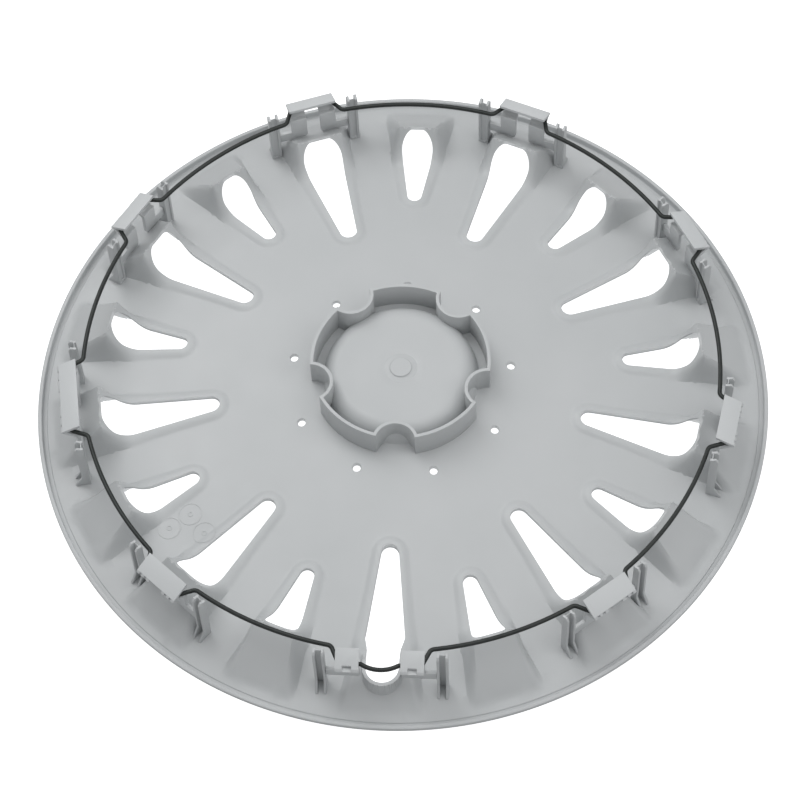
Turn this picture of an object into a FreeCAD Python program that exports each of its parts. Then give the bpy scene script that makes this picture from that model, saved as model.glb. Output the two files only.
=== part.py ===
import FreeCAD, Part
import math
import os

V = FreeCAD.Vector

# ---- driving dimensions, mm and degrees -------------------------------------------------
# The cover lies face down. Z = 0 is the plane that its front rim rests on.
cover_radius = 200.0            # outer edge of the moulding
wall = 2.6                      # general wall of the moulding

# rim
lip_width = 2.4                 # raised lip that bears on the wheel's rim
lip_top = 6.0                   # height of the lip above the rest plane
groove_width = 2.6              # groove just inside the lip
edge_height = 3.4               # height where the outer edge starts to turn under
front_flat = 2.0                # width of the flat ring that the front rests on

# dish
hub_radius = 48.6               # outer face of the scalloped hub wall
hub_floor = 22.6                # height of the back face at the hub
dome_foot_radius = 42.0
dome_flat_radius = 31.0
dome_top = 32.0
dome_shoulder_radius = 39.25    # the dome's rounded shoulder passes through this point
dome_shoulder_height = 29.4
gate_radius = 6.0               # round gate mark in the middle of the dome
gate_height = 0.8

# hub wall with one notch for each wheel bolt
hub_wall = 1.7
hub_top = 40.1
bolt_count = 5
notch_radius = 10.7
notch_centre = 50.1

# stations
station_count = 9
station_pitch = 360.0 / station_count
valve_angle = -90.0             # station 0, where the tyre valve comes through
wide_station = 7

# windows, one long and one short for each station
long_tip_radius = 103.8         # centre of the rounded inner tip
long_tip_round = 5.35
long_end_half = 11.6
short_tip_radius = 125.2
short_tip_round = 4.6
short_end_half = 9.2
window_end = 163.5              # where the window stops at its hood
end_round = 7.0
end_straight = 0.5              # least straight stretch beside an end's rounded corner

# hoods: raised scoops at the outer ends of the windows
hood_start = 138.0
hood_lip_height = 27.0
hood_foot = 190.0
hood_top_margin = 1.2           # flat shoulder beside the window
hood_foot_margin = 6.0          # how far the foot spreads beside the window
hood_start_share = 0.8          # its width where it starts, against its width at the lip
hood_sink = 0.8                 # its two ends lie this far below the dish's face
hood_side_wall = 2.9            # sloping side walls, measured across

# drain holes
drain_radius = 2.2
drain_circle = 60.1

# valve cut-out and its guard wall
valve_half_width = 8.95
valve_end = 180.1
guard_wall = 1.5
guard_top = 18.0
guard_start = 159.0             # the wall begins beside the window

# retaining wire
wire_radius = 1.2
wire_height = 38.5              # height of the wire's centre line
wire_ring = 171.5               # radius of its long arcs
wire_seat = 179.3               # radius of its centre line inside a clip
wire_bend = 3.4                 # bend radius of its cranks
wire_gap = 0.15                 # clearance of the wire in a clip
wire_post_gap = 0.2             # clearance of the wire beside a guide post
valve_dip = 2.8                 # how far it bows outwards across the valve
bow_margin = 1.0                # the bow starts this far from the valve clips
crank_outer = 5.1               # a crank's outer bend, past the end of its clip
crank_inner = 3.8               # its inner bend, inside the clip

# guide posts
post_width = 5.8
post_depth = 4.4
post_wall = 1.35
post_top = 42.0
horn_height = 1.0
horn_drop = 1.0                 # the post's outer top corner, below its top
rib_reach = 4.0                 # foot rib, measured outwards from the post
rib_height = 6.5
rib_toe = 0.4                   # height of the rib's outer end above the dish
post_offset = 23.3              # from the station's centre line to the post's middle
wide_post_offset = 31.5

# clips
clip_inner_face = 174.4
leg_thickness = 2.0
leg_bottom = 17.7
leg_corner = 2.4
leg_inset = 0.4                 # a leg stops this far short of the roof's end
arm_top = 24.0
clip_half_width = 13.5
clip_gap_half = 4.0
wide_clip_half_width = 21.0
wide_clip_gap_half = 6.5
half_clip_start = 10.6
half_clip_end = 22.6
roof_slope = 27.0               # the roof falls outwards by this much
floor_slope = 38.0              # the plate under the wire rises outwards by this much
clip_wall = 1.8
roof_inner_radius = 173.6
nose_radius = 184.2
nose_drop = 0.2                 # the nose's parting line, below the corner of the V
nose_face = 0.9                 # radial width of the steep face above the parting line
nose_skin = 0.25                # the cuts in that face stop this far below its top edge
arm_gap = 0.3                   # running clearance between an arm and its post
nose_notch_half = 4.6
nose_notch_depth = 2.2
nose_slot_width = 1.6
nose_slot_depth = 1.3
nose_slot_shares = (0.55, 0.8)  # where the slots lie, as shares of the clip's half width
nose_slot_floor = 0.6           # how far a slot reaches below the corner of the V
nose_cut_reach = 6.0            # how far a cut runs past the corner of the V
half_slot_width = 4.7
half_slot_depth = 2.6
half_slot_floor = 0.4

# ---- derived values -----------------------------------------------------------------------
groove_outer = cover_radius - lip_width
groove_inner = groove_outer - groove_width
post_face = wire_ring + wire_radius + wire_post_gap
dish_slope = (hub_floor - wall) / (groove_inner - hub_radius)
leg_outer_face = clip_inner_face + leg_thickness


def back_height(radius):
    """Height of the dish's back face at a radius outside the hub."""
    return hub_floor - dish_slope * (radius - hub_radius)


def turned(shape, angle):
    moved = shape.copy()
    moved.rotate(V(0, 0, 0), V(0, 0, 1), angle)
    return moved


def prism(points, direction):
    """Closed polygon pulled along a direction."""
    wire = Part.makePolygon(points + [points[0]])
    return Part.Face(wire).extrude(direction)


def radial_plate(profile, start, end):
    """Profile in (radius, height), pulled along the tangent from start to end."""
    points = [V(r, start, z) for r, z in profile]
    return prism(points, V(0, end - start, 0))


def station_angle(station):
    return valve_angle + station * station_pitch


def save(name, shape):
    shape.exportStep("parts/" + name + ".step")
    print(name, "solids", len(shape.Solids), "volume", round(shape.Volume), "valid", shape.isValid())


# ---- the moulded disc -----------------------------------------------------------------------
def shoulder_mid():
    return V(dome_shoulder_radius, 0, dome_shoulder_height)


def revolved(points, arc_middles):
    """Closed section in (radius, height) turned round the axis. Some of its sides are arcs."""
    edges = []
    for i, start in enumerate(points):
        end = points[(i + 1) % len(points)]
        if i in arc_middles:
            edges.append(Part.Arc(start, arc_middles[i], end).toShape())
        else:
            edges.append(Part.LineSegment(start, end).toShape())
    section = Part.Face(Part.Wire(edges))
    return section.revolve(V(0, 0, 0), V(0, 0, 1), 360)


def dish_blank():
    """Dish, dome, groove and lip as one turned shell."""
    back = [
        V(0, 0, dome_top),
        V(dome_flat_radius, 0, dome_top),
        V(dome_foot_radius, 0, hub_floor),
        V(hub_radius, 0, hub_floor),
        V(groove_inner, 0, wall),
        V(groove_outer, 0, wall),
        V(groove_outer, 0, lip_top),
        V(cover_radius, 0, lip_top),
        V(cover_radius, 0, edge_height),
        V(groove_inner + front_flat, 0, 0),
        V(groove_inner, 0, 0),
        V(hub_radius, 0, hub_floor - wall),
        V(dome_foot_radius - wall, 0, hub_floor - wall),
        V(dome_flat_radius - wall, 0, dome_top - wall),
        V(0, 0, dome_top - wall),
    ]
    shoulders = {1: shoulder_mid(), 12: shoulder_mid() - V(wall, 0, wall)}
    blank = revolved(back, shoulders)
    gate = Part.makeCylinder(gate_radius, gate_height + wall / 2, V(0, 0, dome_top - wall / 2))
    return blank.fuse(gate)


def window_outline(tip_radius, tip_round, end_half, end):
    """Teardrop: round inner tip, straight sides, wide end with rounded corners."""
    corner = min(end_round, end_half - end_straight)
    run = end - corner - tip_radius
    lean = math.atan2(end_half - tip_round, run)
    tip_t = V(tip_radius - tip_round * math.sin(lean), tip_round * math.cos(lean), 0)
    side_t = V(end - corner - corner * math.sin(lean), end_half - corner + corner * math.cos(lean), 0)
    diagonal = corner * math.sqrt(0.5)
    corner_mid = V(end - corner + diagonal, end_half - corner + diagonal, 0)
    end_t = V(end, end_half - corner, 0)

    def mirrored(point):
        return V(point.x, -point.y, point.z)

    edges = [
        Part.Arc(mirrored(tip_t), V(tip_radius - tip_round, 0, 0), tip_t),
        Part.LineSegment(tip_t, side_t),
        Part.Arc(side_t, corner_mid, end_t),
        Part.LineSegment(end_t, mirrored(end_t)),
        Part.Arc(mirrored(end_t), mirrored(corner_mid), mirrored(side_t)),
        Part.LineSegment(mirrored(side_t), mirrored(tip_t)),
    ]
    return Part.Wire([edge.toShape() for edge in edges])


def upright(outline, low, high):
    """Closed plan outline pulled up from one height to another."""
    lowered = outline.copy()
    lowered.translate(V(0, 0, low))
    return Part.Face(lowered).extrude(V(0, 0, high - low))


def trapezoid(radius, foot_half, top_half, foot, top):
    points = [
        V(radius, -foot_half, foot),
        V(radius, -top_half, top),
        V(radius, top_half, top),
        V(radius, foot_half, foot),
    ]
    return Part.makePolygon(points + [points[0]])


def hood_body(end_half, inset, depth):
    """Ramp up to the hood's lip and down again. The inset body is the hollow under it."""
    side = hood_side_wall if inset else 0.0
    drop = wall if inset else 0.0
    start_low = back_height(hood_start) - depth
    start_top = back_height(hood_start) - hood_sink - drop
    foot_top = back_height(hood_foot) - hood_sink - drop
    lip_half = end_half + hood_top_margin - side
    foot_half = end_half + hood_foot_margin - side
    share = hood_start_share
    sections = [
        trapezoid(hood_start, foot_half * share, lip_half * share, start_low, start_top),
        trapezoid(window_end, foot_half, lip_half, back_height(window_end) - depth, hood_lip_height - drop),
        trapezoid(hood_foot, foot_half, lip_half, back_height(hood_foot) - depth, foot_top),
    ]
    first = Part.makeLoft(sections[:2], True, True)
    second = Part.makeLoft(sections[1:], True, True)
    return first.fuse(second)


def valve_outline(margin):
    """U that opens inwards, used for the cut-out and for its guard wall."""
    half = valve_half_width + margin
    centre = valve_end - valve_half_width
    edges = [
        Part.LineSegment(V(guard_start, -half, 0), V(centre, -half, 0)),
        Part.Arc(V(centre, -half, 0), V(centre + half, 0, 0), V(centre, half, 0)),
        Part.LineSegment(V(centre, half, 0), V(guard_start, half, 0)),
        Part.LineSegment(V(guard_start, half, 0), V(guard_start, -half, 0)),
    ]
    return Part.Wire([edge.toShape() for edge in edges])


def guard_foot():
    return back_height(valve_end) - wall


def make_cover():
    raised = []
    hollows = []
    cuts = []
    above = hub_top + wall
    for station in range(station_count):
        long_angle = station_angle(station)
        short_angle = long_angle + station_pitch / 2
        kinds = [
            (long_angle, long_tip_radius, long_tip_round, long_end_half),
            (short_angle, short_tip_radius, short_tip_round, short_end_half),
        ]
        for angle, tip_radius, tip_round, end_half in kinds:
            raised.append(turned(hood_body(end_half, False, wall / 2), angle))
            hollows.append(turned(hood_body(end_half, True, wall * 2), angle))
            outline = window_outline(tip_radius, tip_round, end_half, window_end)
            cuts.append(turned(upright(outline, -wall, above), angle))
        drain = Part.makeCylinder(drain_radius, above, V(drain_circle, 0, 0))
        cuts.append(turned(drain, short_angle))
    valve_hole = upright(valve_outline(guard_wall), -wall, above)
    cuts.append(turned(valve_hole, valve_angle))
    cover = dish_blank().multiFuse(raised)
    cover = cover.cut(hollows)
    cover = cover.cut(cuts)
    return cover.removeSplitter()


def make_valve_guard(cover):
    """U-shaped wall that lines the valve cut-out and stands above the hood."""
    outer = upright(valve_outline(guard_wall), guard_foot(), guard_top)
    inner = upright(valve_outline(0), guard_foot() - wall, guard_top + wall)
    end_trim = Part.makeBox(guard_wall * 2, cover_radius, cover_radius)
    end_trim.translate(V(guard_start - guard_wall * 2, -cover_radius / 2, 0))
    guard = outer.cut(inner).cut(end_trim)
    return turned(guard, valve_angle).cut(cover)


# ---- hub wall -----------------------------------------------------------------------------------
def scalloped(radius, notch):
    """Disc with the bolt notches bitten out of its edge."""
    height = hub_top - hub_floor
    disc = Part.makeCylinder(radius, height, V(0, 0, hub_floor))
    bites = []
    for bolt in range(bolt_count):
        bite = Part.makeCylinder(notch, height, V(notch_centre, 0, hub_floor))
        bites.append(turned(bite, valve_angle + bolt * 360.0 / bolt_count))
    return disc.cut(bites)


def filled_dome():
    """Everything under the back face of the dome."""
    section = [
        V(0, 0, dome_top),
        V(dome_flat_radius, 0, dome_top),
        V(dome_foot_radius, 0, hub_floor),
        V(0, 0, hub_floor),
    ]
    return revolved(section, {1: shoulder_mid()})


def make_hub_wall():
    """The notches' inner ends stand on the shoulder of the dome."""
    outer = scalloped(hub_radius, notch_radius)
    inner = scalloped(hub_radius - hub_wall, notch_radius + hub_wall)
    return outer.cut(inner).cut(filled_dome()).removeSplitter()


# ---- guide posts ----------------------------------------------------------------------------------
def post_middle(station):
    return wide_post_offset if station in (0, wide_station) else post_offset


def make_post(station, side, cover):
    """Channel that opens outwards: closed side inwards, two fins with ribs at the foot."""
    face = post_face
    back = face + post_depth
    middle = side * post_middle(station)
    half = post_width / 2
    web_profile = [
        (face, back_height(face) - wall / 2),
        (face, post_top),
        (face + post_wall, post_top),
        (face + post_wall, back_height(face + post_wall) - wall / 2),
    ]
    web = radial_plate(web_profile, middle - half, middle + half)
    fin_profile = [
        (face, back_height(face) - wall / 2),
        (face, post_top),
        (face + post_wall, post_top),
        (back - post_wall, post_top + horn_height),
        (back, post_top - horn_drop),
        (back, back_height(back) + rib_height),
        (back + rib_reach, back_height(back + rib_reach) + rib_toe),
        (back + rib_reach, back_height(back + rib_reach) - wall / 2),
    ]
    left = radial_plate(fin_profile, middle - half, middle - half + post_wall)
    right = radial_plate(fin_profile, middle + half - post_wall, middle + half)
    post = turned(web.fuse([left, right]), station_angle(station))
    return post.cut(cover).removeSplitter()


# ---- clips --------------------------------------------------------------------------------------------
def seat_apex():
    """Corner where the roof and the floor plate of a clip meet, outside the wire."""
    half_angle = math.radians((roof_slope + floor_slope) / 2)
    tilt = math.radians((floor_slope - roof_slope) / 2)
    reach = (wire_radius + wire_gap) / math.sin(half_angle)
    return wire_seat + reach * math.cos(tilt), wire_height + reach * math.sin(tilt)


def roof_edge_height():
    """Height of the edge between the sloping roof and the steep face of the nose."""
    apex_r, apex_z = seat_apex()
    thick = clip_wall / math.cos(math.radians(roof_slope))
    return apex_z + thick - (nose_radius - nose_face - apex_r) * math.tan(math.radians(roof_slope))


def roof_profile():
    apex_r, apex_z = seat_apex()
    thick = clip_wall / math.cos(math.radians(roof_slope))
    inner_under = apex_z + (apex_r - roof_inner_radius) * math.tan(math.radians(roof_slope))
    return [
        (roof_inner_radius, inner_under),
        (roof_inner_radius, inner_under + thick),
        (nose_radius - nose_face, roof_edge_height()),
        (nose_radius, apex_z - nose_drop),
        (apex_r, apex_z),
    ]


def floor_profile():
    """Plate that rises outwards from the top of the legs to the nose, under the wire."""
    apex_r, apex_z = seat_apex()
    slope = math.tan(math.radians(floor_slope))
    thick = clip_wall / math.cos(math.radians(floor_slope))
    at_face = apex_z - (apex_r - leg_outer_face) * slope
    nose_low = apex_z - thick + (nose_radius - apex_r) * slope
    return [
        (leg_outer_face, at_face),
        (apex_r, apex_z),
        (nose_radius, apex_z - nose_drop),
        (nose_radius, nose_low),
        (leg_outer_face, at_face - thick),
    ]


def leg_top():
    apex_r, apex_z = seat_apex()
    return apex_z - (apex_r - leg_outer_face) * math.tan(math.radians(floor_slope))


def leg_plate(start, end, arm_end):
    """L-shaped leg seen from the hub: upright part, arm towards the post, rounded corner."""
    z0 = leg_bottom
    top = leg_top()
    way = 1 if end > start else -1
    radius = clip_inner_face
    corner = leg_corner
    bend = corner * (1 - math.sqrt(0.5))
    points = [
        V(radius, start + way * corner, z0),
        V(radius, arm_end, z0),
        V(radius, arm_end, arm_top),
        V(radius, end, arm_top),
        V(radius, end, top),
        V(radius, start, top),
        V(radius, start, z0 + corner),
    ]
    edges = [Part.LineSegment(a, b).toShape() for a, b in zip(points, points[1:])]
    corner_mid = V(radius, start + way * bend, z0 + bend)
    edges.append(Part.Arc(points[-1], corner_mid, points[0]).toShape())
    return Part.Face(Part.Wire(edges)).extrude(V(leg_thickness, 0, 0))


def nose_cut(middle, half_width, depth, low, high):
    box = Part.makeBox(depth * 2, half_width * 2, high - low)
    box.translate(V(nose_radius - depth, middle - half_width, low))
    return box


def make_clip(half_width, gap_half, post_centre):
    """Roof, two floor plates and two L-shaped legs with arms that reach the posts."""
    arm_end = post_centre - post_width / 2 - arm_gap
    leg_end = half_width - leg_inset
    apex_z = seat_apex()[1]
    cut_top = roof_edge_height() - nose_skin
    body = radial_plate(roof_profile(), -half_width, half_width)
    pieces = []
    for side in (1, -1):
        pieces.append(radial_plate(floor_profile(), side * gap_half, side * leg_end))
        pieces.append(leg_plate(side * gap_half, side * leg_end, side * arm_end))
    clip = body.fuse(pieces)
    cuts = [nose_cut(0, nose_notch_half, nose_notch_depth, apex_z - nose_cut_reach, cut_top)]
    slot_low = apex_z - nose_slot_floor
    for side in (1, -1):
        for share in nose_slot_shares:
            slot_place = side * half_width * share
            cuts.append(nose_cut(slot_place, nose_slot_width / 2, nose_slot_depth, slot_low, cut_top))
    return clip.cut(cuts).removeSplitter()


def make_half_clip(side):
    """One of the two narrow clips beside the valve, carried by a single arm."""
    arm_end = side * (wide_post_offset - post_width / 2 - arm_gap)
    start = side * half_clip_start
    end = side * half_clip_end
    apex_z = seat_apex()[1]
    roof = radial_plate(roof_profile(), start, end)
    floor = radial_plate(floor_profile(), start, end)
    leg = leg_plate(start, end, arm_end)
    slot_place = (start + end) / 2
    slot_low = apex_z - half_slot_floor
    cut_top = apex_z + nose_cut_reach
    slot = nose_cut(slot_place, half_slot_width / 2, half_slot_depth, slot_low, cut_top)
    return roof.fuse([floor, leg]).cut(slot).removeSplitter()


# ---- retaining wire ------------------------------------------------------------------------------------
def polar(radius, degrees):
    angle = math.radians(degrees)
    return V(radius * math.cos(angle), radius * math.sin(angle), wire_height)


def crank(angle, side, bend_place, seat_place):
    """Points of one crank, from the long arc out to the seat: two bends and a straight."""
    outer = wire_ring + wire_bend
    turn = math.degrees(math.asin(bend_place / outer))
    local_a = V(outer * math.cos(math.radians(turn)), bend_place, wire_height)
    local_b = V(wire_seat - wire_bend, seat_place, wire_height)
    middle = (local_a + local_b) * 0.5
    half = (local_b - local_a).Length / 2
    lean = math.asin(wire_bend / half)
    straight = math.sqrt(half ** 2 - wire_bend ** 2)
    along = (local_b - local_a).normalize()
    heading = V(
        along.x * math.cos(lean) - along.y * math.sin(lean),
        along.x * math.sin(lean) + along.y * math.cos(lean),
        0,
    )
    leave = middle - heading * straight
    arrive = middle + heading * straight
    on_ring = polar(wire_ring, turn)
    seat = V(wire_seat, seat_place, wire_height)

    def between(centre, a, b):
        out = ((a - centre) + (b - centre)).normalize()
        return centre + out * wire_bend

    points = [on_ring, between(local_a, on_ring, leave), leave, arrive, between(local_b, arrive, seat), seat]
    placed = []
    for point in points:
        flipped = V(point.x, side * point.y, point.z)
        matrix = FreeCAD.Placement(V(0, 0, 0), FreeCAD.Rotation(V(0, 0, 1), angle))
        placed.append(matrix.multVec(flipped))
    return placed


def crank_edges(points):
    ring, mid_a, leave, arrive, mid_b, seat = points
    return [
        Part.Arc(ring, mid_a, leave).toShape(),
        Part.LineSegment(leave, arrive).toShape(),
        Part.Arc(arrive, mid_b, seat).toShape(),
    ]


def round_bar(edge):
    """Round bar along one straight or one arc of the wire's path."""
    start = edge.Vertexes[0].Point
    heading = edge.tangentAt(edge.FirstParameter)
    section = Part.Face(Part.Wire([Part.makeCircle(wire_radius, start, heading)]))
    if isinstance(edge.Curve, Part.Circle):
        sweep = math.degrees(edge.Length / edge.Curve.Radius)
        turn = sweep if (edge.Curve.Center - start).cross(heading).z < 0 else -sweep
        return section.revolve(edge.Curve.Center, V(0, 0, 1), turn)
    return section.extrude(edge.Vertexes[-1].Point - start)


def bend_places(station):
    """Where a crank's two bends lie along the tangent, from the station's centre line."""
    half_width = clip_half_width
    if station == wide_station:
        half_width = wide_clip_half_width
    elif station == 0:
        half_width = half_clip_end
    return half_width + crank_outer, half_width - crank_inner


def make_wire():
    edges = []
    for station in range(station_count):
        angle = station_angle(station)
        bend_place, seat_place = bend_places(station)
        coming = crank(angle, -1, bend_place, seat_place)
        leaving = crank(angle, 1, bend_place, seat_place)
        edges += crank_edges(coming)
        if station == 0:
            half = half_clip_start - bow_margin
            placement = FreeCAD.Placement(V(0, 0, 0), FreeCAD.Rotation(V(0, 0, 1), angle))
            a = placement.multVec(V(wire_seat, -half, wire_height))
            b = placement.multVec(V(wire_seat, half, wire_height))
            bow = placement.multVec(V(wire_seat + valve_dip, 0, wire_height))
            edges.append(Part.LineSegment(coming[-1], a).toShape())
            edges.append(Part.Arc(a, bow, b).toShape())
            edges.append(Part.LineSegment(b, leaving[-1]).toShape())
        else:
            edges.append(Part.LineSegment(coming[-1], leaving[-1]).toShape())
        edges += crank_edges(leaving)
        following = crank(angle + station_pitch, -1, *bend_places((station + 1) % station_count))
        half_way = polar(wire_ring, angle + station_pitch / 2)
        edges.append(Part.Arc(leaving[0], half_way, following[0]).toShape())
    spans = [round_bar(edge) for edge in edges]
    wire = spans[0].multiFuse(spans[1:])
    length = sum(edge.Length for edge in edges)
    print("wire length", round(length), "section times length", round(length * math.pi * wire_radius ** 2))
    return wire


def build():
    os.makedirs("parts", exist_ok=True)
    cover = make_cover()
    save("cover_disc", cover)
    save("hub_wall", make_hub_wall())
    save("valve_guard", make_valve_guard(cover))
    for station in range(station_count):
        for side, word in ((-1, "a"), (1, "b")):
            save("guide_post_%d%s" % (station, word), make_post(station, side, cover))
    for station in range(1, station_count):
        if station == wide_station:
            clip = make_clip(wide_clip_half_width, wide_clip_gap_half, wide_post_offset)
        else:
            clip = make_clip(clip_half_width, clip_gap_half, post_offset)
        save("clip_%d" % station, turned(clip, station_angle(station)))
    save("valve_clip_a", turned(make_half_clip(-1), valve_angle))
    save("valve_clip_b", turned(make_half_clip(1), valve_angle))
    save("retaining_wire", make_wire())


build()
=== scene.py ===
from math import asin, atan2, ceil, cos, degrees, hypot, pi, radians, sin, sqrt

import bmesh
import bpy
from mathutils import Matrix, Vector
from mathutils.geometry import delaunay_2d_cdt
from mathutils.kdtree import KDTree


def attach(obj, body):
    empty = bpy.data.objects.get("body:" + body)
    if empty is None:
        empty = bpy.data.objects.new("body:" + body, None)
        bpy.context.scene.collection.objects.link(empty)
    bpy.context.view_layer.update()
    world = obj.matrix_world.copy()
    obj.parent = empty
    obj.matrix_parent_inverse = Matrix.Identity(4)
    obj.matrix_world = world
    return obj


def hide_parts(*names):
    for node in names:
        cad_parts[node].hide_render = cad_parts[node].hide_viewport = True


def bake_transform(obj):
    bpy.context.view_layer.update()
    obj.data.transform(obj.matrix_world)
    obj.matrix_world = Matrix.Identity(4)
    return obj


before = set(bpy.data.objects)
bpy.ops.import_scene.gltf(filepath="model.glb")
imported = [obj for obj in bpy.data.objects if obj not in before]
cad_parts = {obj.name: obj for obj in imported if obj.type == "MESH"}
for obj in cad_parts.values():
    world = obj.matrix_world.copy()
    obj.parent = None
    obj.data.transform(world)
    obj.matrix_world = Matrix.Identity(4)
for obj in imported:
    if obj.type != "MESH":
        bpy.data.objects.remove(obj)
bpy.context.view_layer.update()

mm = 0.001

# nine stations, the first at the tyre valve, anticlockwise seen from the back
stations = {"count": 9, "pitch": 40.0, "valveAngle": -90.0, "wide": 7}


def stationAngle(number):
    return stations["valveAngle"] + number * stations["pitch"]


# ---------- small helpers ----------
def linearColour(hexText):
    # sRGB hex to the linear values that the shader wants
    parts = [int(hexText[i:i + 2], 16) / 255 for i in (1, 3, 5)]
    return tuple([c / 12.92 if c <= 0.04045 else ((c + 0.055) / 1.055) ** 2.4 for c in parts] + [1.0])


def addNode(tree, kind, links=None, **values):
    # one node with its settings, its input values and the links that come into it
    node = tree.nodes.new(kind)
    for name, value in values.items():
        setattr(node, name, value)
    for socket, source in (links or {}).items():
        if isinstance(source, bpy.types.NodeSocket):
            tree.links.new(source, node.inputs[socket])
        else:
            node.inputs[socket].default_value = source
    return node


def smoothStep(u):
    u = min(max(u, 0.0), 1.0)
    return u * u * (3 - 2 * u)


def meshPiece(name, points, faces, material, crease=35):
    # points in millimetres, in the part's own frame
    mesh = bpy.data.meshes.new(name)
    mesh.from_pydata([Vector(p) * mm for p in points], [], faces)
    mesh.validate()
    mesh.materials.append(material)
    finishShading(mesh, crease)
    return addPiece(name, mesh)


def addPiece(name, data):
    piece = bpy.data.objects.new(name, data)
    bpy.context.scene.collection.objects.link(piece)
    return piece


def finishShading(mesh, crease):
    mesh.shade_smooth()
    mesh.set_sharp_from_angle(angle=radians(crease))


def bakeModifiers(piece, crease=None):
    # turns the evaluated piece into a plain mesh and removes its modifiers
    graph = bpy.context.evaluated_depsgraph_get()
    mesh = bpy.data.meshes.new_from_object(piece.evaluated_get(graph))
    mesh.name = piece.name
    piece.modifiers.clear()
    piece.data = mesh
    if crease:
        finishShading(mesh, crease)
    return piece


# ---------- materials ----------
def newMaterial(name):
    # a material with its node tree, its surface and the piece's own coordinates
    material = bpy.data.materials.new(name)
    material.use_nodes = True
    tree = material.node_tree
    place = addNode(tree, "ShaderNodeTexCoord").outputs["Object"]
    return material, tree, tree.nodes["Principled BSDF"], place


def noise(tree, place, size, detail):
    # size is that of the noise's patches, in millimetres
    links = {"Vector": place, "Scale": 1 / (size * mm), "Detail": detail}
    return addNode(tree, "ShaderNodeTexNoise", links).outputs["Fac"]


def mixedColour(tree, surface, share, first, second):
    # a colour mix takes its two colours at inputs 6 and 7 and gives the result at output 2
    links = {"Factor": share, 6: linearColour(first), 7: linearColour(second)}
    mix = addNode(tree, "ShaderNodeMix", links, data_type="RGBA")
    tree.links.new(mix.outputs[2], surface.inputs["Base Color"])


def remapped(tree, value, low, high, **limits):
    links = {"Value": value, "To Min": low, "To Max": high}
    links.update({"From " + name.title(): limit for name, limit in limits.items()})
    return addNode(tree, "ShaderNodeMapRange", links).outputs["Result"]


def addBump(tree, surface, height, strength, depth):
    bump = addNode(tree, "ShaderNodeBump", {"Height": height, "Strength": strength, "Distance": depth * mm})
    tree.links.new(bump.outputs["Normal"], surface.inputs["Normal"])


# sizes in millimetres; the grain is drawn about three times coarser than real, so that it shows
plastic = {
    "cloudSize": 55, "wearSize": 18, "duller": 0.05, "rougher": 0.06, "bump": 0.35, "refraction": 1.49,
    "scatter": 0.06, "scatterDepth": 2,
}


def plasticMaterial(name, tint, shade, roughness, grainSize, grainDepth):
    # injection-moulded polypropylene, unpainted: a soft satin grey with a wide, dull highlight,
    # faint clouding where the melt flowed, and the fine grain of an eroded steel mould
    material, tree, surface, place = newMaterial(name)
    mixedColour(tree, surface, noise(tree, place, plastic["cloudSize"], 3.0), shade, tint)
    grain = noise(tree, place, grainSize, 2.0)
    wear = noise(tree, place, plastic["wearSize"], 5.0)
    low, high = roughness - plastic["duller"], roughness + plastic["rougher"]
    tree.links.new(remapped(tree, wear, low, high, min=0.3, max=0.7), surface.inputs["Roughness"])
    addBump(tree, surface, grain, plastic["bump"], grainDepth)
    surface.inputs["IOR"].default_value = plastic["refraction"]
    surface.inputs["Subsurface Weight"].default_value = plastic["scatter"]
    surface.inputs["Subsurface Radius"].default_value = [plastic["scatterDepth"] * mm] * 3
    return material


steel = {
    "blotchSize": 4, "dark": "#262928", "light": "#3A3D3C", "gloss": (0.34, 0.5), "bump": 0.25,
    "depth": 0.05, "metal": 0.55,
}


def wireMaterial():
    # phosphated spring steel, oiled: nearly black and satin, with small blotches
    material, tree, surface, place = newMaterial("phosphatedSpringSteel")
    blotch = noise(tree, place, steel["blotchSize"], 4.0)
    mixedColour(tree, surface, blotch, steel["dark"], steel["light"])
    tree.links.new(remapped(tree, blotch, *steel["gloss"]), surface.inputs["Roughness"])
    addBump(tree, surface, blotch, steel["bump"], steel["depth"])
    surface.inputs["Metallic"].default_value = steel["metal"]
    return material


coverPlastic = plasticMaterial("mouldedPolypropylene", tint="#BFC1C2", shade="#B4B7B8", roughness=0.46,
                               grainSize=0.5, grainDepth=0.05)
clipPlastic = plasticMaterial("mouldedClipPolypropylene", tint="#C8CACB", shade="#BEC1C2", roughness=0.4,
                              grainSize=0.5, grainDepth=0.04)
springSteel = wireMaterial()

# ---------- the moulded shell ----------
dish = {
    "hubRadius": 48.6, "hubHeight": 22.6, "edgeRadius": 195.0, "wall": 2.6,
    "domeFoot": 42.0, "domeFlat": 31.0, "domeTop": 32.0, "shoulder": (39.25, 29.4),
    "gateRadius": 6.0, "gateHeight": 0.8, "stripRadius": 50.4,
    "arcSteps": 32, "sectorStart": -10.0, "gridStep": 4.2,
    "drainRadius": 2.2, "drainCircle": 60.1, "drainSides": 18, "edgeRound": 0.4,
    "borderStep": 6.0, "zigzag": 0.12, "rimGap": 0.62, "gridGap": 2.4, "leastArea": 0.002,
    "seamGap": 0.3, "arcGap": 0.6,
}
windows = {
    "long": {"angle": 0.0, "tipRadius": 104.3, "tipRound": 5.2, "endHalf": 11.6, "rise": 20.0},
    "short": {"angle": 20.0, "tipRadius": 125.7, "tipRound": 4.45, "endHalf": 9.2, "rise": 20.0},
}
hood = {
    "start": 90, "end": 163.5, "corner": 7.0, "foot": 190.5, "flare": 5.5, "reach": 30,
    "rimRise": 1.7, "riseStart": 146.0, "risePower": 2.2, "land": 1.1, "lip": 0.6, "roundness": 1.5,
    "tipFlank": 3.6, "hoodFlank": 5.2, "flankStart": 120, "flankRun": 40,
    "frontReach": 25, "thick": 1.6, "thinner": 1.4, "thinReach": 4,
    "undercut": 2.2, "undercutStart": 150, "undercutLow": 5, "undercutRun": 10, "undercutReach": 6,
}
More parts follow.
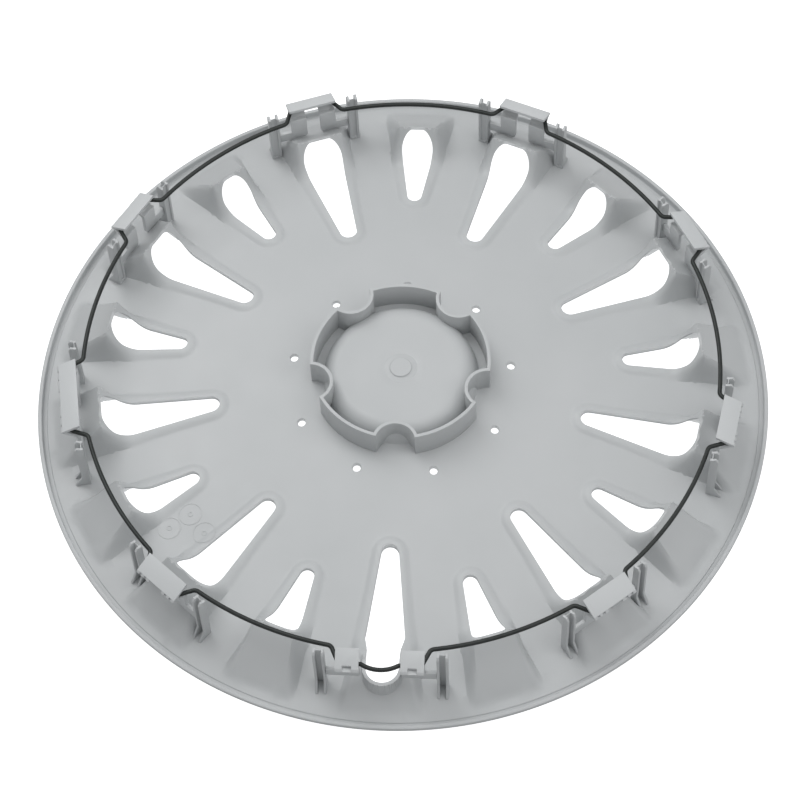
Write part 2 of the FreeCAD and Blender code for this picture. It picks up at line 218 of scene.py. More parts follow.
guard = {
    "halfWidth": 8.95, "end": 180.1, "wall": 1.5, "top": 17.9, "start": 158.0, "slope": 0.7, "rise": 11.0,
    "fade": 8, "joinBefore": 6, "joinAfter": 2, "joinGap": 0.25,
}
# where the mesh gets extra rows of points: outside a window's edge, along a hood's flanks and on its roof
seeds = {
    "rimRows": (1.1, hood["land"], 2.7, 3.5, 4.3, 5.1, 6.2, 7.6), "rimStep": 1.8, "guardStep": 1.2,
    "flankRows": (0.0, 0.9, hood["land"], 2.4, 3.2, 4.0, 4.8, 5.6, 6.8), "flankRange": range(162, 193, 2),
    "roofShares": (-0.85, -0.5, -0.17, 0.17, 0.5, 0.85), "roofRange": range(168, 194, 2), "roofInset": 1.5,
}


def dishHeight(radius):
    share = (radius - dish["hubRadius"]) / (dish["edgeRadius"] - dish["hubRadius"])
    return dish["hubHeight"] + (dish["wall"] - dish["hubHeight"]) * share


def windowSide(window, x):
    # half width of the teardrop's straight side, and of the parallel hood beyond it
    start = window["tipRadius"]
    share = (x - start) / (hood["end"] - hood["corner"] - start)
    return window["tipRound"] + (window["endHalf"] - window["tipRound"]) * min(max(share, 0.0), 1.0)


def hoodDistance(window, x, y):
    # how far a point lies outside the teardrop that runs on outwards as a parallel hood
    across = abs(y)
    start = window["tipRadius"]
    last = hood["end"] - hood["corner"]
    lean = (window["endHalf"] - window["tipRound"]) / (last - start)
    behind = x - start + (across - window["tipRound"]) * lean
    if behind < 0:
        return hypot(x - start, across) - window["tipRound"]
    if x < last:
        return (across - windowSide(window, x)) / sqrt(1 + lean * lean)
    spread = hood["flare"] * max(x - hood["end"], 0.0) / (hood["foot"] - hood["end"])
    return across - window["endHalf"] - spread


def rimRise(window, x):
    share = (min(x, hood["end"]) - hood["riseStart"]) / (hood["end"] - hood["riseStart"])
    return hood["rimRise"] + (window["rise"] - hood["rimRise"]) * max(share, 0.0) ** hood["risePower"]


def flankWidth(x):
    share = smoothStep((x - hood["flankStart"]) / hood["flankRun"])
    return hood["tipFlank"] + (hood["hoodFlank"] - hood["tipFlank"]) * share


def hoodRaise(window, x, y, inset):
    # raised rim round a window, growing into a scoop at its outer end
    # its front face follows the scoop but not the low rim
    out = hoodDistance(window, x, y) + inset - hood["land"]
    side = 1 - min(max(out / flankWidth(x), 0.0), 1.0) ** hood["roundness"]
    run = (x + inset - hood["end"] - hood["lip"]) / (hood["foot"] - hood["end"] - hood["lip"])
    ramp = 1 - min(max(run, 0.0), 1.0)
    height = rimRise(window, x + inset) - (hood["rimRise"] if inset else 0.0)
    return height * side * ramp


def guardDistance(x, y):
    # distance outside the U of the valve cut-out
    centre = guard["end"] - guard["halfWidth"]
    if x > centre:
        return hypot(x - centre, y) - guard["halfWidth"]
    return abs(y) - guard["halfWidth"]


def shellHeight(x, y, withValve, inset=0.0):
    # height of the back face over the dish at a point of the sector, or of the front face if inset
    height = dishHeight(hypot(x, y))
    total = 0.0
    for window in windows.values():
        along, across = turned2d([(x, y)], -window["angle"])[0]
        if abs(across) > hood["reach"] or along < hood["start"]:
            continue
        shape = dict(window)
        valveHere = withValve and window["angle"] == 0
        if valveHere:
            shape["rise"] = guard["rise"]
        rise = hoodRaise(shape, along, across, inset)
        if valveHere and along > guard["start"]:
            near = guardDistance(along, across) + inset - guard["wall"]
            wallRise = (guard["top"] - height) * (1 - smoothStep(near / guard["slope"]))
            fade = smoothStep((along - guard["start"]) / guard["fade"])
            rise = max(rise, wallRise * fade)
        total += rise
    return height + total


def windowOutline(window, offset, step=1.5):
    # points of the teardrop, grown by offset, anticlockwise
    tip = window["tipRadius"]
    corner = hood["corner"]
    half = window["endHalf"] - corner
    last = hood["end"] - corner
    lean = atan2(window["endHalf"] - window["tipRound"], last - tip)
    upper = []
    addArc(upper, tip, 0, window["tipRound"] + offset, pi, pi / 2 + lean, step)
    addArc(upper, last, half, corner + offset, pi / 2 + lean, 0, step)
    return closeOutline(upper, step)


def valveWindowOutline(window, offset, step=1.5):
    # the teardrop whose outer end opens into the U of the valve cut-out
    tip = window["tipRadius"]
    last = hood["end"] - hood["corner"]
    lean = atan2(window["endHalf"] - window["tipRound"], last - tip)
    centre = guard["end"] - guard["halfWidth"]
    upper = []
    addArc(upper, tip, 0, window["tipRound"] + offset, pi, pi / 2 + lean, step)
    before = guard["joinBefore"]
    narrower = before * (window["endHalf"] - window["tipRound"]) / (last - tip)
    upper.append((last - before, window["endHalf"] - narrower + offset))
    upper.append((last + guard["joinAfter"], guard["halfWidth"] + guard["joinGap"] + offset))
    addArc(upper, centre, 0, guard["halfWidth"] + offset, pi / 2, 0, step)
    return closeOutline(upper, step)


def frontPoint(x, y, withValve):
    # a point of the front face: the wall thins towards a window, and under a scoop's lip it is bevelled
    height = shellHeight(x, y, withValve, hood["thick"]) - dish["wall"]
    raised = height + dish["wall"] - dishHeight(hypot(x, y))
    shift = thin = 0.0
    for window in windows.values():
        if withValve and window["angle"] == 0:
            continue
        along, across = turned2d([(x, y)], -window["angle"])[0]
        if abs(across) >= hood["frontReach"]:
            continue
        if along > hood["undercutStart"]:
            near = hypot(max(along - hood["end"], 0.0), max(abs(across) - window["endHalf"], 0.0))
            raisedShare = smoothStep((raised - hood["undercutLow"]) / hood["undercutRun"])
            shift = hood["undercut"] * raisedShare * (1 - min(near / hood["undercutReach"], 1.0))
        if hood["start"] < along < hood["end"] + hood["thinReach"]:
            away = hoodDistance(window, along, across) / hood["thinReach"]
            thin = max(thin, hood["thinner"] * (1 - smoothStep(away)))
    radius = hypot(x, y)
    return x * (1 + shift / radius), y * (1 + shift / radius), height + thin


def addArc(points, x, y, radius, start, end, step):
    count = max(3, ceil(abs(end - start) * radius / step))
    for i in range(count + 1):
        angle = start + (end - start) * i / count
        points.append((x + radius * cos(angle), y + radius * sin(angle)))


def closeOutline(upper, step):
    # divides the long sides, mirrors the upper half and joins both
    full = []
    for a, b in zip(upper, upper[1:]):
        count = max(1, round(hypot(b[0] - a[0], b[1] - a[1]) / step))
        full += [(a[0] + (b[0] - a[0]) * i / count, a[1] + (b[1] - a[1]) * i / count) for i in range(count)]
    full.append(upper[-1])
    lower = [(x, -y) for x, y in reversed(full[1:] if abs(full[0][1]) < 1e-6 else full)]
    if abs(full[-1][1]) < 1e-6:
        lower = lower[1:]
    return list(reversed(full + lower))


def polar(radius, angle):
    return radius * cos(radians(angle)), radius * sin(radians(angle))


def turned2d(points, angle):
    c, s = cos(radians(angle)), sin(radians(angle))
    return [(x * c - y * s, x * s + y * c) for x, y in points]


def grown(loop, offset):
    # the same number of points, each moved outwards; the loop runs clockwise
    moved = []
    for before, here, after in zip(loop[-1:] + loop[:-1], loop, loop[1:] + loop[:1]):
        along = Vector(after) - Vector(before)
        out = Vector((-along.y, along.x)).normalized() * offset
        moved.append((here[0] + out.x, here[1] + out.y))
    return moved


def insideLoop(point, loop):
    x, y = point
    inside = False
    for (x1, y1), (x2, y2) in zip(loop, loop[1:] + loop[:1]):
        if (y1 > y) != (y2 > y) and x < (x2 - x1) * (y - y1) / (y2 - y1) + x1:
            inside = not inside
    return inside


def sectorSeeds(withValve):
    # loops that are cut out, and extra points that carry the shape of rims and hoods
    loops = []
    extra = []
    for window in windows.values():
        valveHere = withValve and window["angle"] == 0
        outline = valveWindowOutline if valveHere else windowOutline
        opening = turned2d(outline(window, 0.0), window["angle"])
        loops.append([opening, grown(opening, dish["edgeRound"])])
        for grow in seeds["rimRows"]:
            extra += turned2d(outline(window, grow, seeds["rimStep"]), window["angle"])
        for grow in seeds["flankRows"]:
            rows = []
            for x in seeds["flankRange"]:
                spread = hood["flare"] * max(x - hood["end"], 0.0) / (hood["foot"] - hood["end"])
                rows += [(x, (window["endHalf"] + spread + grow) * way) for way in (1, -1)]
            extra += turned2d(rows, window["angle"])
        width = window["endHalf"] - seeds["roofInset"]
        for x in seeds["roofRange"]:
            extra += turned2d([(x, width * share) for share in seeds["roofShares"]], window["angle"])
        if valveHere:
            for grow in (guard["wall"], guard["wall"] + guard["slope"] / 2, guard["wall"] + guard["slope"]):
                extra += outline(window, grow, seeds["guardStep"])
    angles = [-2 * pi * i / dish["drainSides"] for i in range(dish["drainSides"])]
    middle, reach = dish["drainCircle"], dish["drainRadius"]
    ring = [(middle + reach * cos(a), reach * sin(a)) for a in angles]
    drain = turned2d(ring, windows["short"]["angle"])
    loops.append([drain, grown(drain, dish["edgeRound"])])
    return loops, extra


def sectorBorder():
    # the radial borders run in a faint zigzag, so that no sliver can lie along them
    inner, outer, steps = dish["stripRadius"], dish["edgeRadius"], dish["arcSteps"]
    arc = [dish["sectorStart"] + stations["pitch"] * i / steps for i in range(steps + 1)]
    rows = 2 * ceil((outer - inner) / dish["borderStep"])
    seam = [(inner + (outer - inner) * i / rows, dish["zigzag"] * (i % 2)) for i in range(rows + 1)]
    border = [polar(inner, a) for a in arc]
    border += [polar(r, arc[-1] + shift) for r, shift in seam[1:]]
    border += [polar(outer, a) for a in reversed(arc[:-1])]
    border += [polar(r, arc[0] + shift) for r, shift in reversed(seam[1:-1])]
    return arc, border


def gridPoints():
    # an even filling of the sector, ring by ring
    inner, step = dish["stripRadius"], dish["gridStep"]
    grid = []
    for i in range(1, ceil((dish["edgeRadius"] - inner) / step)):
        radius = inner + i * step
        count = max(4, round(radius * radians(stations["pitch"]) / step))
        angles = [dish["sectorStart"] + stations["pitch"] * (j + 0.5) / count for j in range(count)]
        grid += [polar(radius, a) for a in angles]
    return grid


def pointTree(points):
    tree = KDTree(len(points))
    for i, p in enumerate(points):
        tree.insert((p[0], p[1], 0), i)
    tree.balance()
    return tree


def thinned(candidates, points, gap, holes):
    # the candidates inside the sector, outside its openings and no nearer than the gap to other points
    low = dish["sectorStart"] + dish["seamGap"]
    high = dish["sectorStart"] + stations["pitch"] - dish["seamGap"]
    inner, outer = dish["stripRadius"] + dish["arcGap"], dish["edgeRadius"] - dish["arcGap"]
    tree = pointTree(points)
    kept = []
    for p in candidates:
        inSector = low < degrees(atan2(p[1], p[0])) < high and inner < hypot(p[0], p[1]) < outer
        if not inSector or tree.find((p[0], p[1], 0))[2] < gap:
            continue
        if any(insideLoop(p, hole) for hole in holes):
            continue
        if all(abs(p[0] - q[0]) + abs(p[1] - q[1]) > gap for q in kept[-60:]):
            kept.append(p)
    return kept


def flatSector(border, holes, extra):
    # the sector laid flat: its points, and its triangles anticlockwise, without the openings
    points, edges = [], []
    for loop in [border] + holes:
        start = len(points)
        points += loop
        edges += [(start + i, start + (i + 1) % len(loop)) for i in range(len(loop))]
    points += thinned(extra, points, dish["rimGap"], holes)
    points += thinned(gridPoints(), points, dish["gridGap"], holes)
    result = delaunay_2d_cdt([Vector(p) for p in points], edges, [], 0, 1e-5)
    flat, kept = result[0], []
    for a, b, c in result[2]:
        centre = (flat[a] + flat[b] + flat[c]) / 3
        area = (flat[b] - flat[a]).cross(flat[c] - flat[a])
        if abs(area) < dish["leastArea"] or not insideLoop(centre, border):
            continue
        if not any(insideLoop(centre, hole) for hole in holes):
            kept.append((a, b, c) if area > 0 else (a, c, b))
    return flat, kept


def addOpeningWalls(vertices, faces, loops, flat):
    # quads from the back face to the front face, with a small step at each edge
    count = len(flat)
    lookup = pointTree(flat)
    for edgeLoop, holeLoop in loops:
        size = len(edgeLoop)
        tops = [lookup.find((p[0], p[1], 0))[1] for p in holeLoop]
        base = len(vertices)
        for (x, y), index in zip(edgeLoop, tops):
            vertices.append((x, y, vertices[index][2] - dish["edgeRound"]))
        for (x, y), index in zip(edgeLoop, tops):
            front = vertices[count + index]
            shift = hypot(front[0], front[1]) / hypot(flat[index].x, flat[index].y)
            vertices.append((x * shift, y * shift, front[2] + dish["edgeRound"]))
        rings = [tops, [base + k for k in range(size)], [base + size + k for k in range(size)],
                 [count + k for k in tops]]
        for i in range(size):
            j = (i + 1) % size
            for upper, lower in zip(rings, rings[1:]):
                faces.append((upper[i], upper[j], lower[j], lower[i]))


def sectorMesh(name, withValve):
    # one ninth of the shell: back face, front face and the walls of its openings
    arc, border = sectorBorder()
    loops, extra = sectorSeeds(withValve)
    flat, triangles = flatSector(border, [loop[1] for loop in loops], extra)
    count = len(flat)
    vertices = [(p.x, p.y, shellHeight(p.x, p.y, withValve)) for p in flat]
    vertices += [frontPoint(p.x, p.y, withValve) for p in flat]
    faces = []
    for up in triangles:
        faces.append(up)
        faces.append(tuple(count + i for i in reversed(up)))
    addOpeningWalls(vertices, faces, loops, flat)
    addStrips(vertices, faces, arc)
    return meshPiece(name, vertices, faces, coverPlastic)


def arcPoints(start, middle, end, count):
    # points of the circle through three points in (radius, height)
    (x1, y1), (x2, y2), (x3, y3) = start, middle, end
    d = 2 * (x1 * (y2 - y3) + x2 * (y3 - y1) + x3 * (y1 - y2))
    s1, s2, s3 = x1 ** 2 + y1 ** 2, x2 ** 2 + y2 ** 2, x3 ** 2 + y3 ** 2
    ux = (s1 * (y2 - y3) + s2 * (y3 - y1) + s3 * (y1 - y2)) / d
    uy = (s1 * (x3 - x2) + s2 * (x1 - x3) + s3 * (x2 - x1)) / d
    radius = hypot(x1 - ux, y1 - uy)
    a, b = atan2(y1 - uy, x1 - ux), atan2(y3 - uy, x3 - ux)
    return [(ux + radius * cos(a + (b - a) * i / count), uy + radius * sin(a + (b - a) * i / count))
            for i in range(count + 1)]


def addStrips(vertices, faces, arc):
    # the turned middle and the turned rim of the sector, as strips of quads
    # each profile is a list of its corners' radius and height
    wall = dish["wall"]
    foot, flatR, top = dish["domeFoot"], dish["domeFlat"], dish["domeTop"]
    low = dish["hubHeight"]
    shoulder = arcPoints((foot, low), dish["shoulder"], (flatR, top), 10)
    gate, height = dish["gateRadius"], dish["gateHeight"]
    strip = dish["stripRadius"]
    middle = [(strip, dishHeight(strip)), (46.0, low), (foot + 1.2, low)]
    middle += [(foot + 0.3, low + 0.25)] + shoulder[1:]
    middle += [(24.0, top), (13.0, top), (9.4, top), (9.0, top - 0.12), (8.6, top), (gate + 0.35, top)]
    middle += [(gate, top + 0.2), (gate - 0.1, top + height - 0.25), (gate - 0.45, top + height)]
    middle += [(0.0, top + height)]
    under = [(x - wall if x > wall and x < foot + 0.1 else x, z - wall) for x, z in shoulder]
    front = [(strip, dishHeight(strip) - wall), (46.0, low - wall), (foot, low - wall)]
    front += under + [(20.0, top - wall), (8.0, top - wall), (0.0, top - wall)]
    edge = dish["edgeRadius"]
    rim = [(edge, wall), (edge + 0.5, wall - 0.45), (edge + 2.3, wall - 0.45), (edge + 2.65, wall),
           (edge + 2.75, 5.6), (edge + 3.1, 6.0), (edge + 4.5, 6.0), (edge + 4.9, 5.75), (edge + 5.0, 5.3),
           (edge + 5.0, 4.1), (edge + 4.7, 3.95), (edge + 4.7, 3.7), (edge + 4.95, 3.5), (edge + 4.6, 2.6),
           (edge + 3.6, 1.1), (edge + 2.4, 0.2), (edge + 1.6, 0.0), (edge, 0.0)]
    for profile, flip in ((middle, False), (front, True), (rim, True)):
        base = len(vertices)
        for r, z in profile:
            vertices += [polar(r, a) + (z,) for a in arc]
        width = len(arc)
        for i in range(len(profile) - 1):
            for j in range(width - 1):
                quad = [base + i * width + j, base + i * width + j + 1,
                        base + (i + 1) * width + j + 1, base + (i + 1) * width + j]
                if profile[i + 1][0] == 0.0:
                    quad = quad[:3]
                faces.append(tuple(reversed(quad) if flip else quad))


def ringTree(material):
    # repeats the plain sector round the axis, puts the valve sector at the first place and joins all
    tree = bpy.data.node_groups.new("ringOfSectors", "GeometryNodeTree")
    face = tree.interface
    face.new_socket("Plain sector", in_out="INPUT", socket_type="NodeSocketGeometry")
    face.new_socket("Valve sector", in_out="INPUT", socket_type="NodeSocketObject")
    face.new_socket("Count", in_out="INPUT", socket_type="NodeSocketInt")
    face.new_socket("Pitch", in_out="INPUT", socket_type="NodeSocketFloat")
    face.new_socket("First angle", in_out="INPUT", socket_type="NodeSocketFloat")
    face.new_socket("Geometry", in_out="OUTPUT", socket_type="NodeSocketGeometry")
    given = tree.nodes.new("NodeGroupInput").outputs
    index = addNode(tree, "GeometryNodeInputIndex").outputs[0]
    angle = addNode(tree, "ShaderNodeMath", {0: index, 1: given["Pitch"], 2: given["First angle"]},
                    operation="MULTIPLY_ADD").outputs[0]
    turn = addNode(tree, "ShaderNodeCombineXYZ", {"Z": angle}).outputs[0]
    places = addNode(tree, "GeometryNodeMeshLine", {"Count": given["Count"], "Offset": (0, 0, 0)}).outputs[0]
    isValve = addNode(tree, "FunctionNodeCompare", {2: index, 3: 0}, data_type="INT",
                      operation="EQUAL").outputs[0]
    isPlain = addNode(tree, "FunctionNodeBooleanMath", {0: isValve}, operation="NOT").outputs[0]
    valve = addNode(tree, "GeometryNodeObjectInfo", {"Object": given["Valve sector"]}).outputs["Geometry"]
    ringA = addNode(tree, "GeometryNodeInstanceOnPoints", {"Points": places, "Selection": isPlain,
                    "Instance": given["Plain sector"], "Rotation": turn}).outputs[0]
    ringB = addNode(tree, "GeometryNodeInstanceOnPoints", {"Points": places, "Selection": isValve,
                    "Instance": valve, "Rotation": turn}).outputs[0]
    both = tree.nodes.new("GeometryNodeJoinGeometry")
    tree.links.new(ringA, both.inputs[0])
    tree.links.new(ringB, both.inputs[0])
    real = addNode(tree, "GeometryNodeRealizeInstances", {"Geometry": both.outputs[0]}).outputs[0]
    whole = addNode(tree, "GeometryNodeMergeByDistance", {"Geometry": real, "Distance": 0.02 * mm}).outputs[0]
    painted = addNode(tree, "GeometryNodeSetMaterial", {"Geometry": whole, "Material": material}).outputs[0]
    end = tree.nodes.new("NodeGroupOutput")
    tree.links.new(painted, end.inputs[0])
    return tree


def useTree(piece, tree, **values):
    modifier = piece.modifiers.new(tree.name, "NODES")
    modifier.node_group = tree
    for item in tree.interface.items_tree:
        if item.in_out == "INPUT" and item.name in values:
            modifier[item.identifier] = values[item.name]
    return piece


def makeShell():
    shell = sectorMesh("coverShell", False)
    valve = sectorMesh("valveSector", True)
    settings = {"Valve sector": valve, "Count": stations["count"], "Pitch": radians(stations["pitch"]),
                "First angle": radians(stations["valveAngle"])}
    useTree(shell, ringTree(coverPlastic), **settings)
    bakeModifiers(shell, 33)
    bpy.data.objects.remove(valve)
    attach(shell, "cover")
    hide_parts("cover_disc", "valve_guard")
    print("shell:", len(shell.data.polygons), "faces")


makeShell()

# blank rings left by the mould's date stamps; each place is the radius and angle of a ring's middle,
# and the section is given in widths and heights of the raised line
marks = {
    "places": [(149.7, -142.6), (136.4, -142.5), (137.0, -136.7)], "station": 8,
    "radius": 6.1, "inner": 1.2, "width": 0.5, "height": 0.22, "sides": 48,
    "section": ((-0.5, -0.3), (-0.5, 1), (0.5, 1), (0.5, -0.3)),
}


def makeMarks():
    vertices, faces = [], []
    count = marks["sides"]
    turn = stationAngle(marks["station"])
    for radius, angle in marks["places"]:
        cx, cy = polar(radius, angle - turn)
        for size in (marks["radius"], marks["inner"]):
            base = len(vertices)
            for i in range(count):
                for grow, lift in marks["section"]:
                    reach = size + grow * marks["width"]
                    x, y = cx + reach * cos(2 * pi * i / count), cy + reach * sin(2 * pi * i / count)
                    wx, wy = turned2d([(x, y)], turn)[0]
                    vertices.append((wx, wy, shellHeight(x, y, False) + lift * marks["height"]))
            for i in range(count):
                j = (i + 1) % count
                for a in range(4):
                    b = (a + 1) % 4
                    faces.append((base + i * 4 + a, base + j * 4 + a, base + j * 4 + b, base + i * 4 + b))
    piece = meshPiece("stampRings", vertices, faces, coverPlastic)
    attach(piece, "cover")
    print("stamp rings:", len(marks["places"]))


makeMarks()


# ---------- softened copies of the CAD's moulded pieces ----------
# sizes in millimetres and angles in degrees
soften = {
    "merge": 0.002, "flat": 1, "bevelAngle": 28, "segments": 2, "crease": 50,
    "hubWall": 0.35, "post": 0.2, "clip": 0.25,
}


def softenedNode(node, name, body, material, width, cutter=None):
    # a merged copy of the node with small rounded edges, as a mould leaves them
    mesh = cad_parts[node].data.copy()
    mesh.name = name
    work = bmesh.new()
    work.from_mesh(mesh)
    bmesh.ops.remove_doubles(work, verts=work.verts, dist=soften["merge"] * mm)
    bmesh.ops.dissolve_limit(work, angle_limit=radians(soften["flat"]), verts=work.verts, edges=work.edges)
    work.to_mesh(mesh)
    work.free()
    mesh.materials.clear()
    mesh.materials.append(material)
    piece = addPiece(name, mesh)
    if cutter:
        cut = piece.modifiers.new("groove", "BOOLEAN")
        cut.operation = "DIFFERENCE"
        cut.solver = "EXACT"
        cut.object = cutter
    bevel = piece.modifiers.new("rounded edges", "BEVEL")
    bevel.width = width * mm
    bevel.segments = soften["segments"]
    bevel.limit_method = "ANGLE"
    bevel.angle_limit = radians(soften["bevelAngle"])
    bevel.use_clamp_overlap = True
    bakeModifiers(piece, soften["crease"])
    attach(piece, body)
    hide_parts(node)
    return piece


# the shallow groove down the inner face of a guide post
groove = {
    "face": 172.9, "depth": 0.9, "before": 2, "half": 1.5, "low": 6.6, "high": 44.0, "offset": 23.3,
    "wideOffset": 31.5,
}


def sideWay(node):
    # whether the post stands anticlockwise (1) or clockwise (-1) of its station
    corners = [Vector(c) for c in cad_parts[node].bound_box]
    middle = sum(corners, Vector()) / 8
    turn = atan2(middle.y, middle.x) - radians(stationAngle(int(node[-2])))
    return 1 if sin(turn) > 0 else -1


def grooveCutter(station, way):
    wide = station in (0, stations["wide"])
    middle = way * (groove["wideOffset"] if wide else groove["offset"])
    near, deep = groove["face"] - groove["before"], groove["face"] + groove["depth"]
    plan = [(near, middle - groove["half"]), (deep, middle - groove["half"]),
            (deep, middle + groove["half"]), (near, middle + groove["half"])]
    plan = turned2d(plan, stationAngle(station))
    points = [(x, y, z) for z in (groove["low"], groove["high"]) for x, y in plan]
    faces = [(3, 2, 1, 0), (4, 5, 6, 7)] + [(i, (i + 1) % 4, (i + 1) % 4 + 4, i + 4) for i in range(4)]
    return meshPiece("grooveCutter", points, faces, coverPlastic)


def makeMouldedPieces():
    softenedNode("hub_wall", "hubWall", "cover", coverPlastic, soften["hubWall"])
    for station in range(stations["count"]):
        for side in "ab":
            node = "guide_post_%d%s" % (station, side)
            name = "guidePost%d%s" % (station, side)
            cutter = grooveCutter(station, sideWay(node))
            softenedNode(node, name, "cover", coverPlastic, soften["post"], cutter)
            bpy.data.objects.remove(cutter)
    for station in range(1, stations["count"]):
        node = "clip_%d" % station
        name = "snapClip%d" % station
        softenedNode(node, name, node + "_body", clipPlastic, soften["clip"])
    for side in "ab":
        node = "valve_clip_" + side
        name = "valveClip" + side.upper()
        softenedNode(node, name, node + "_body", clipPlastic, soften["clip"])
    print("moulded pieces: hub wall, 18 posts, 10 clips")


makeMouldedPieces()

# ---------- the retaining wire ----------
# one closed wire, drawn as a span for each clip
wire = {
    "radius": 1.2, "height": 38.5, "ring": 171.5, "seat": 179.3, "bend": 3.4,
    "bow": 2.8, "bowStart": 9.6, "bowSteps": 12, "bowRun": 1,
    "crankOuter": 5.1, "crankInner": 3.8, "clipHalf": 13.5, "wideHalf": 21.0, "valveEnd": 22.6,
    "step": 0.55, "arcStep": 2.5, "sides": 20, "crease": 40, "overlap": 0.15,
}


def crankPath(half):
    # from the long arc out to the seat: a bend, a straight and a bend, as points (along, across)
    outer = wire["ring"] + wire["bend"]
    turn = asin((half + wire["crankOuter"]) / outer)
    a = Vector((outer * cos(turn), outer * sin(turn)))
    b = Vector((wire["seat"] - wire["bend"], half - wire["crankInner"]))
    middle, reach = (a + b) / 2, (b - a).length / 2
    lean = asin(wire["bend"] / reach)
    heading = Matrix.Rotation(lean, 2) @ (b - a).normalized()
    straight = sqrt(reach ** 2 - wire["bend"] ** 2)
    leave, arrive = middle - heading * straight, middle + heading * straight
    onRing = Vector((wire["ring"] * cos(turn), wire["ring"] * sin(turn)))
    onSeat = Vector((wire["seat"], b.y))
    path = bendPoints(a, onRing, leave) + bendPoints(b, arrive, onSeat)
    return [(p.x, p.y) for p in path], degrees(turn)


def bendPoints(centre, start, end):
    a, b = start - centre, end - centre
    angle = a.angle_signed(b)
    count = max(4, ceil(abs(angle) * wire["bend"] / wire["step"]))
    return [centre + Matrix.Rotation(-angle * i / count, 2) @ a for i in range(count + 1)]


def ringArc(start, end):
    # points of the long arc between two angles, in degrees from the station's centre line
    count = max(2, ceil(abs(radians(end - start)) * wire["ring"] / wire["arcStep"]))
    return [polar(wire["ring"], start + (end - start) * i / count) for i in range(count + 1)]


def wireTree(material):
    # sweeps a round section along the path
    tree = bpy.data.node_groups.new("roundWire", "GeometryNodeTree")
    face = tree.interface
    face.new_socket("Path", in_out="INPUT", socket_type="NodeSocketGeometry")
    face.new_socket("Radius", in_out="INPUT", socket_type="NodeSocketFloat")
    face.new_socket("Sides", in_out="INPUT", socket_type="NodeSocketInt")
    face.new_socket("Geometry", in_out="OUTPUT", socket_type="NodeSocketGeometry")
    given = tree.nodes.new("NodeGroupInput").outputs
    path = addNode(tree, "GeometryNodeMeshToCurve", {"Mesh": given["Path"]}).outputs[0]
    upright = addNode(tree, "GeometryNodeSetCurveNormal", {"Curve": path}, mode="Z_UP").outputs[0]
    section = addNode(tree, "GeometryNodeCurvePrimitiveCircle", {"Resolution": given["Sides"],
                      "Radius": given["Radius"]}).outputs[0]
    swept = addNode(tree, "GeometryNodeCurveToMesh", {"Curve": upright, "Profile Curve": section,
                    "Fill Caps": True}).outputs[0]
    real = addNode(tree, "GeometryNodeRealizeInstances", {"Geometry": swept}).outputs[0]
    painted = addNode(tree, "GeometryNodeSetMaterial", {"Geometry": real, "Material": material}).outputs[0]
    end = tree.nodes.new("NodeGroupOutput")
    tree.links.new(painted, end.inputs[0])
    return tree


def wireSpan(name, tree, path, angle):
    # path is (along, across) from the axis towards the station
    turned = turned2d(path, angle)
    mesh = bpy.data.meshes.new(name)
    points = [Vector((x, y, wire["height"])) * mm for x, y in turned]
    mesh.from_pydata(points, [(i, i + 1) for i in range(len(points) - 1)], [])
    span = addPiece(name, mesh)
    useTree(span, tree, Radius=wire["radius"] * mm, Sides=wire["sides"])
    bakeModifiers(span, wire["crease"])
    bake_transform(span)


def makeWire():
    tree = wireTree(springSteel)
    fold = stations["pitch"] / 2
    lap = degrees(wire["overlap"] / wire["ring"])
    for station in range(1, stations["count"]):
        half = wire["wideHalf"] if station == stations["wide"] else wire["clipHalf"]
        crank, turn = crankPath(half)
        upper = ringArc(fold + lap, turn)[:-1] + crank
        lower = [(x, -y) for x, y in reversed(upper)]
        wireSpan("wireSpan%d" % station, tree, upper + lower, stationAngle(station))
    crank, turn = crankPath(wire["valveEnd"])
    hidden = (wire["bowStart"] + wire["valveEnd"]) / 2
    reach = (wire["bow"] ** 2 + wire["bowStart"] ** 2) / (2 * wire["bow"])
    wide = asin(wire["bowStart"] / reach)
    angles = [wide * i / wire["bowSteps"] for i in range(wire["bowSteps"], -1, -1)]
    bow = [(wire["seat"] + wire["bow"] - reach + reach * cos(a), reach * sin(a)) for a in angles]
    for side, way in (("A", -1), ("B", 1)):
        outer = ringArc(fold + lap, turn)[:-1] + crank + [(wire["seat"], hidden)]
        outer = [(x, y * way) for x, y in outer]
        wireSpan("wireEnd" + side, tree, outer, stationAngle(0))
        inner = [(wire["seat"], hidden + wire["overlap"])] + bow
        inner = [(x, y * way) for x, y in inner]
        wireSpan("wireBow" + side, tree, inner, stationAngle(0))
    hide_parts("retaining_wire")
    print("wire:", stations["count"] - 1 + 4, "spans")


makeWire()

# ---------- studio ----------
studio = {
    "lens": 121.8, "distance": 1484.6, "aimHeight": 6.0, "azimuth": -84.14, "elevation": 59.34, "roll": -2.94,
    "shiftX": -0.0025, "shiftY": -0.00975, "floorSize": 6.0, "floorDrop": 0.0002,
    "floorGlow": 0.2, "glowInner": 0.17, "glowOuter": 0.2, "roomGlow": 0.5,
    # name, place in metres, size in metres and power in watts
    "panels": [
        ("keyPanel", (-0.9, 0.9, 1.7), 1.2, 13.0),
        ("fillPanel", (1.4, -0.3, 1.6), 1.4, 8.0),
        ("topPanel", (0.0, 0.1, 1.7), 1.1, 6.5),
    ],
}


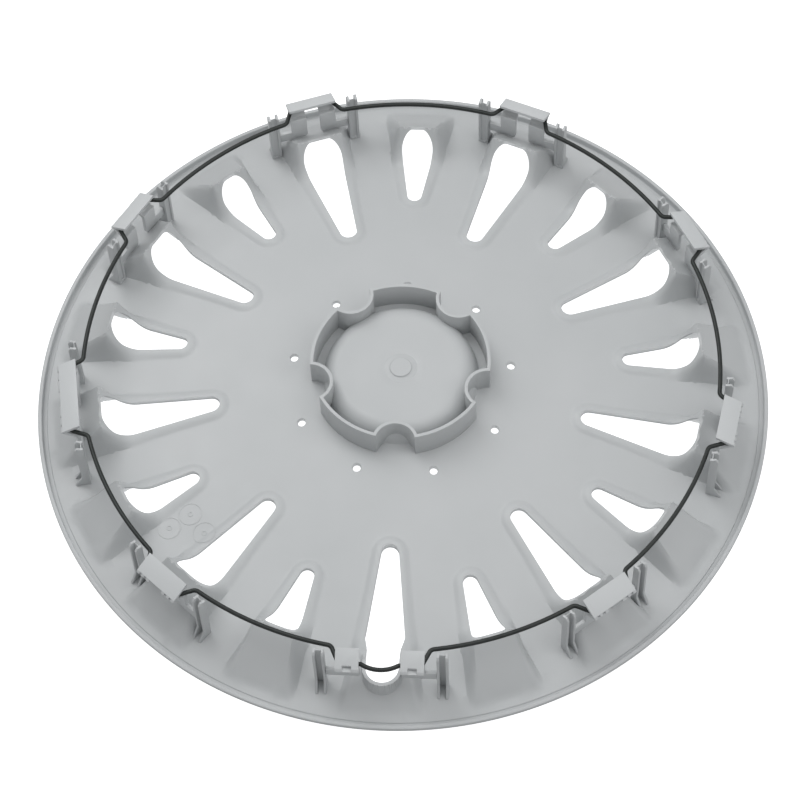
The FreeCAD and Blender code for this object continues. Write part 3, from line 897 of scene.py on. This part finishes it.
def makeFloor():
    # white acrylic light table, faintly lit from below, so that shadows stay pale
    bpy.ops.mesh.primitive_plane_add(size=studio["floorSize"], location=(0, 0, 0))
    floor = bpy.context.object
    floor.name = "lightTable"
    floor.location.z = -studio["floorDrop"]
    material, tree, surface, place = newMaterial("whiteAcrylic")
    cloud = addNode(tree, "ShaderNodeTexNoise", {"Vector": place, "Scale": 2.0}).outputs["Fac"]
    tree.links.new(remapped(tree, cloud, 0.6, 0.7), surface.inputs["Roughness"])
    surface.inputs["Base Color"].default_value = linearColour("#A4A5A6")
    surface.inputs["Emission Color"].default_value = linearColour("#FFFFFF")
    seen = addNode(tree, "ShaderNodeLightPath").outputs["Is Camera Ray"]
    far = addNode(tree, "ShaderNodeVectorMath", {0: place}, operation="LENGTH").outputs["Value"]
    under = remapped(tree, far, 1.0, studio["floorGlow"], min=studio["glowInner"], max=studio["glowOuter"])
    tree.links.new(remapped(tree, seen, under, 1.0), surface.inputs["Emission Strength"])
    floor.data.materials.append(material)


def makeLights():
    world = bpy.data.worlds.new("softRoom")
    bpy.context.scene.world = world
    world.use_nodes = True
    back = world.node_tree.nodes["Background"]
    back.inputs["Color"].default_value = linearColour("#FAFBFC")
    back.inputs["Strength"].default_value = studio["roomGlow"]
    bpy.context.scene.view_settings.view_transform = "Standard"
    for name, place, size, power in studio["panels"]:
        lamp = bpy.data.lights.new(name, "AREA")
        lamp.size = size
        lamp.energy = power
        panel = addPiece(name, lamp)
        panel.location = place
        panel.rotation_euler = (-Vector(place)).to_track_quat("-Z", "Y").to_euler()


def makeCamera():
    camera = addPiece("camera", bpy.data.cameras.new("camera"))
    azimuth, elevation = radians(studio["azimuth"]), radians(studio["elevation"])
    away = Vector((cos(elevation) * cos(azimuth), cos(elevation) * sin(azimuth), sin(elevation)))
    camera.location = Vector((0, 0, studio["aimHeight"] * mm)) + away * studio["distance"] * mm
    level = (-away).to_track_quat("-Z", "Y").to_matrix()
    camera.rotation_euler = (level @ Matrix.Rotation(radians(studio["roll"]), 3, "Z")).to_euler()
    camera.data.lens = studio["lens"]
    camera.data.sensor_width = 36.0
    camera.data.shift_x = studio["shiftX"]
    camera.data.shift_y = studio["shiftY"]
    camera.data.clip_start = 0.05
    bpy.context.scene.camera = camera


makeFloor()
makeLights()
makeCamera()
print("studio ready")
